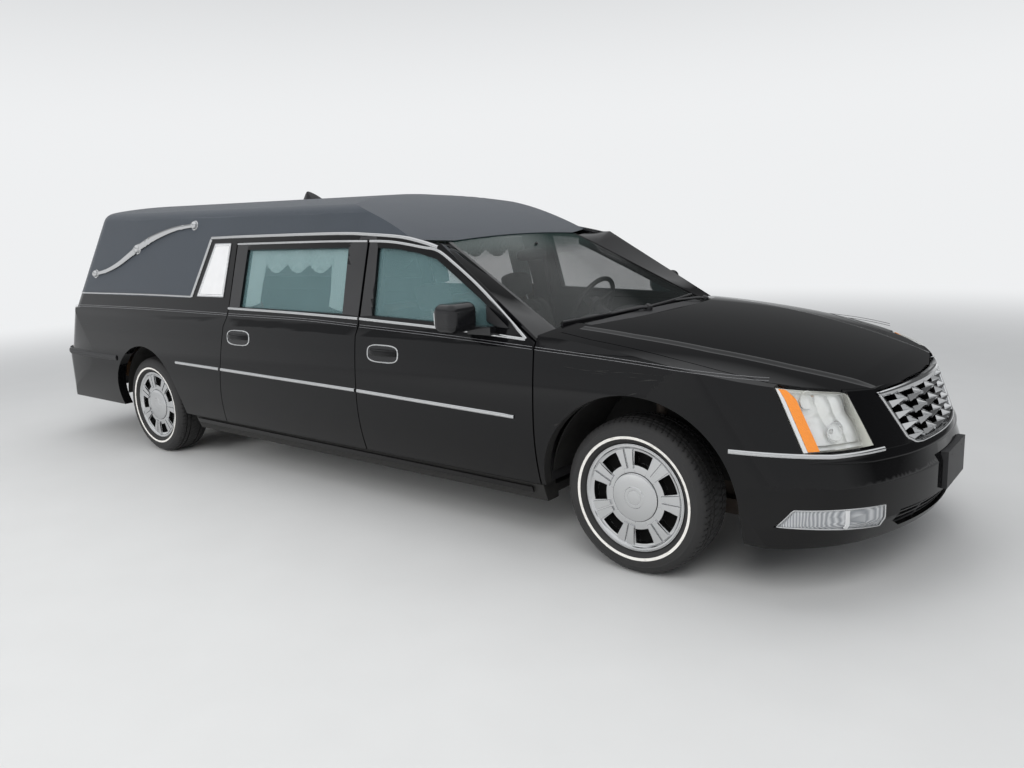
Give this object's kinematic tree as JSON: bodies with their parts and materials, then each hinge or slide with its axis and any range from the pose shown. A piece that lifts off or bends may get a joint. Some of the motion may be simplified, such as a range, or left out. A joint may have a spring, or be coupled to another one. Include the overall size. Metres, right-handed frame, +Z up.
{
  "type": "hearse",
  "caption": "Long coach-built hearse: vinyl-covered raised roof, curtained side windows, side-hinged loading door, casket deck, opening doors and bonnet, steered front wheels.",
  "frame": {"origin": "on the floor, under the middle of the car's bounding box", "axes": "+X forward to the grille, +Y to the car's left, +Z up"},
  "size_m": [6.35, 2.181, 1.7487],
  "materials": {
    "black_paint": "gloss",
    "vinyl": "matte",
    "chrome": "polished",
    "glass": "tinted",
    "lamp_lens": "clear",
    "red_lens": "gloss",
    "black_plastic": "satin",
    "gloss_black": "gloss",
    "underbody": "matte",
    "deck_board": "satin",
    "seat_cloth": "woven",
    "curtain_cloth": "pleated",
    "tyre": "matte",
    "cast_iron": "cast",
    "steel": "satin"
  },
  "bodies": {
    "body": {"cowl": "black_plastic", "headlamps": "lamp_lens", "front_fenders": "black_paint", "front_bumper": "black_paint", "grille": "chrome", "lower_grille": "black_plastic", "fog_lamps": "lamp_lens", "windscreen": "glass", "roof_cap": "vinyl", "tail_lamps": "red_lens", "quarter_panels": "black_paint", "rear_bumper": "black_paint", "side_frames": "black_paint", "floor_pan": "underbody", "casket_deck": "deck_board", "front_seats": "seat_cloth", "dashboard": "black_plastic", "front_suspension": "cast_iron", "rear_suspension": "cast_iron", "engine": "cast_iron", "exhaust": "steel", "landau_bars": "chrome", "plate_holders": "black_plastic"},
    "bonnet": {"bonnet": "black_paint"},
    "loading_door": {"loading_door": "black_paint", "loading_door_glass": "glass"},
    "fuel_lid": {"fuel_lid": "black_paint"},
    "steering_wheel": {"steering_wheel": "black_plastic"},
    "front_door_left": {"front_door_left": "black_paint", "front_door_glass_left": "glass", "door_mirror_left": "gloss_black"},
    "rear_door_left": {"rear_door_left": "black_paint", "rear_door_glass_left": "glass", "curtain_left": "curtain_cloth"},
    "knuckle_left": {"knuckle_left": "cast_iron"},
    "wheel_front_left": {"rim_front_left": "chrome", "tyre_front_left": "tyre"},
    "wheel_rear_left": {"rim_rear_left": "chrome", "tyre_rear_left": "tyre"},
    "front_door_right": {"front_door_right": "black_paint", "front_door_glass_right": "glass", "door_mirror_right": "gloss_black"},
    "rear_door_right": {"rear_door_right": "black_paint", "rear_door_glass_right": "glass", "curtain_right": "curtain_cloth"},
    "knuckle_right": {"knuckle_right": "cast_iron"},
    "wheel_front_right": {"rim_front_right": "chrome", "tyre_front_right": "tyre"},
    "wheel_rear_right": {"rim_rear_right": "chrome", "tyre_rear_right": "tyre"}
  },
  "joints": [
    {"name": "front_door_left_hinge", "type": "hinge", "parent": "body", "child": "front_door_left", "pos_m": [1.642, 0.943, 0.7], "axis": [0, 0, -1], "range_deg": [0, 65]},
    {"name": "rear_door_left_hinge", "type": "hinge", "parent": "body", "child": "rear_door_left", "pos_m": [0.463, 0.943, 0.7], "axis": [0, 0, -1], "range_deg": [0, 65]},
    {"name": "front_door_right_hinge", "type": "hinge", "parent": "body", "child": "front_door_right", "pos_m": [1.642, -0.943, 0.7], "axis": [0, 0, 1], "range_deg": [0, 65]},
    {"name": "rear_door_right_hinge", "type": "hinge", "parent": "body", "child": "rear_door_right", "pos_m": [0.463, -0.943, 0.7], "axis": [0, 0, 1], "range_deg": [0, 65]},
    {"name": "bonnet_hinge", "type": "hinge", "parent": "body", "child": "bonnet", "pos_m": [1.705, 0, 1.03], "axis": [0, -1, 0], "range_deg": [0, 50]},
    {"name": "loading_door_hinge", "type": "hinge", "parent": "body", "child": "loading_door", "pos_m": [-2.951, 0.584, 1], "axis": [-0.387, 0, -0.9221], "range_deg": [0, 95]},
    {"name": "fuel_lid_hinge", "type": "hinge", "parent": "body", "child": "fuel_lid", "pos_m": [-1.39, 0.943, 0.865], "axis": [0, 0, -1], "range_deg": [0, 85]},
    {"name": "steer_right", "type": "hinge", "parent": "body", "child": "knuckle_right", "pos_m": [2.125, -0.69, 0.34], "axis": [0, 0, 1], "range_deg": [-33, 33]},
    {"name": "steer_left", "type": "hinge", "parent": "body", "child": "knuckle_left", "pos_m": [2.125, 0.69, 0.34], "axis": [0, 0, 1], "range_deg": [-33, 33]},
    {"name": "steering_wheel_turn", "type": "hinge", "parent": "body", "child": "steering_wheel", "pos_m": [1.12, 0.38, 0.985], "axis": [-0.8988, 0, 0.4384], "range_deg": [-495, 495]},
    {"name": "wheel_front_left_spin", "type": "hinge", "parent": "knuckle_left", "child": "wheel_front_left", "pos_m": [2.125, 0.788, 0.34], "axis": [0, 1, 0], "continuous": true},
    {"name": "wheel_rear_left_spin", "type": "hinge", "parent": "body", "child": "wheel_rear_left", "pos_m": [-1.76, 0.788, 0.34], "axis": [0, 1, 0], "continuous": true},
    {"name": "wheel_front_right_spin", "type": "hinge", "parent": "knuckle_right", "child": "wheel_front_right", "pos_m": [2.125, -0.788, 0.34], "axis": [0, 1, 0], "continuous": true},
    {"name": "wheel_rear_right_spin", "type": "hinge", "parent": "body", "child": "wheel_rear_right", "pos_m": [-1.76, -0.788, 0.34], "axis": [0, 1, 0], "continuous": true}
  ],
  "couplings": [
    {"joint": "steer_left", "follows": "steer_right", "ratio": 1},
    {"joint": "steering_wheel_turn", "follows": "steer_right", "ratio": 15}
  ]
}
